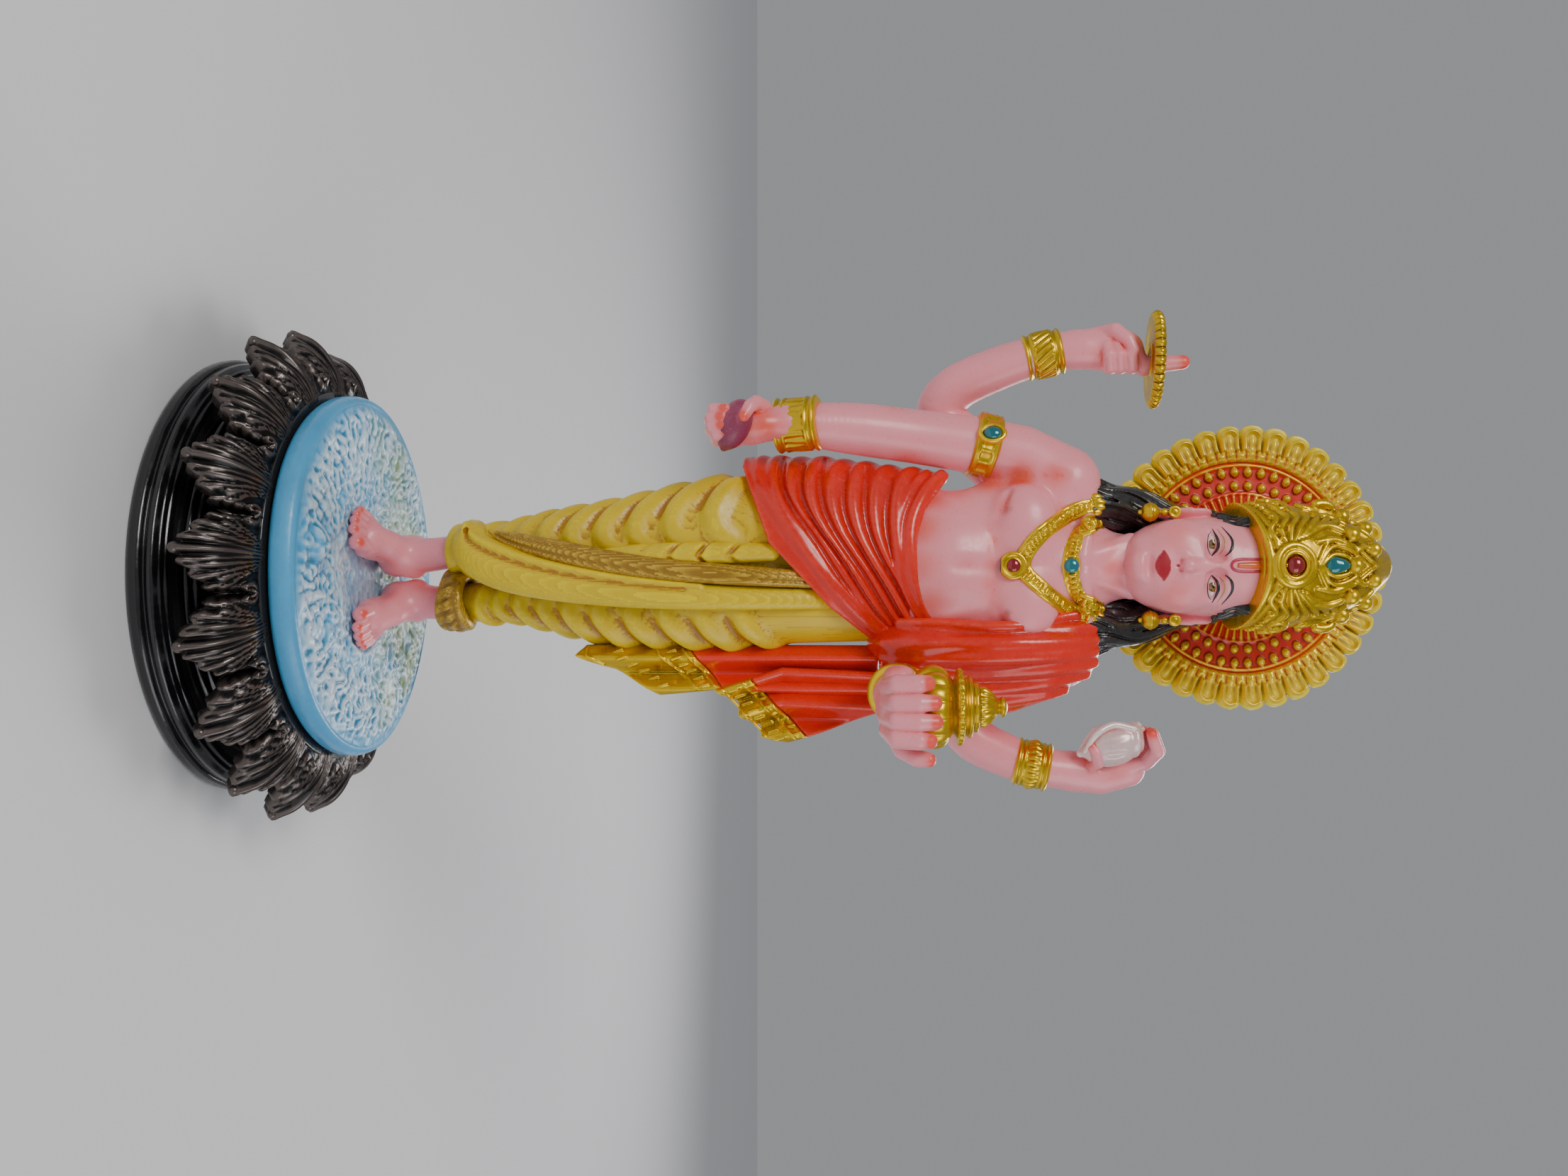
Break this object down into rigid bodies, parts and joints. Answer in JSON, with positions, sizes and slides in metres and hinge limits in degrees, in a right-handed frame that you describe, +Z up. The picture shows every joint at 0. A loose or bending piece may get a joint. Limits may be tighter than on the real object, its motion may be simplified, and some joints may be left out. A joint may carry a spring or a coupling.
{
  "type": "deity statuette",
  "caption": "Standing four-armed deity statuette with halo, crown, discus, conch and nectar pot, on a round leaf-collared plinth with a flat base to rest on.",
  "frame": {"origin": "centre of the plinth's flat underside", "axes": "+Z up along the statuette's height, -Y out of its front, +X to its own left"},
  "size_m": [0.1134, 0.1094, 0.2625],
  "materials": {
    "skin_resin": "satin translucent pink resin with airbrushed shading",
    "red_paint": "gloss red-orange paint",
    "yellow_paint": "satin yellow paint with ochre shading",
    "ochre_paint": "olive-ochre paint",
    "gold_paint": "metallic gold paint",
    "halo_red": "red paint with gold relief",
    "halo_yellow": "pearly yellow-gold paint",
    "hair_black": "gloss black paint",
    "water_blue": "satin sky-blue paint with white foam",
    "plinth_black": "gloss black paint",
    "leaf_bronze": "dark bronze metallic paint",
    "pearl_white": "pearl",
    "mauve_paint": "satin mauve paint",
    "ruby_stone": "polished red stone",
    "teal_stone": "polished teal stone",
    "pin_steel": "drawn steel"
  },
  "bodies": {
    "root": {"plinth_foot": "plinth_black", "plinth_drum": "plinth_black", "leaf_collar": "leaf_bronze", "water_pad": "water_blue", "right_foot": "skin_resin", "left_foot": "skin_resin", "torso": "skin_resin", "head": "skin_resin", "front_right_arm": "skin_resin", "front_left_arm": "skin_resin", "rear_right_arm": "skin_resin", "rear_left_arm": "skin_resin", "front_right_hand": "skin_resin", "front_left_hand": "skin_resin", "rear_right_hand": "skin_resin", "rear_left_hand": "skin_resin", "right_ankle_pin": "pin_steel", "left_ankle_pin": "pin_steel", "dhoti": "yellow_paint", "dhoti_front_roll": "yellow_paint", "dhoti_side_pleat": "yellow_paint", "dhoti_border_strip": "ochre_paint", "left_ankle_cuff": "ochre_paint", "hip_sash": "red_paint", "shoulder_shawl": "red_paint", "shawl_tail_inner": "red_paint", "shawl_tail_outer": "red_paint", "shawl_tail_inner_border": "gold_paint", "shawl_tail_outer_border": "gold_paint", "crown": "gold_paint", "right_earring": "gold_paint", "left_earring": "gold_paint", "short_necklace": "gold_paint", "long_necklace": "gold_paint", "front_right_bangle": "gold_paint", "front_left_bangle": "gold_paint", "rear_right_bangle": "gold_paint", "rear_left_bangle": "gold_paint", "armlet": "gold_paint", "nectar_pot": "gold_paint", "discus": "gold_paint", "halo_disc": "halo_red", "halo_petal_rim": "halo_yellow", "hair": "hair_black", "conch": "pearl_white", "lotus_bud": "mauve_paint", "crown_ruby": "ruby_stone", "pendant_ruby": "ruby_stone", "crown_teardrop": "teal_stone", "short_necklace_gem": "teal_stone", "armlet_gem": "teal_stone"}
  },
  "joints": []
}
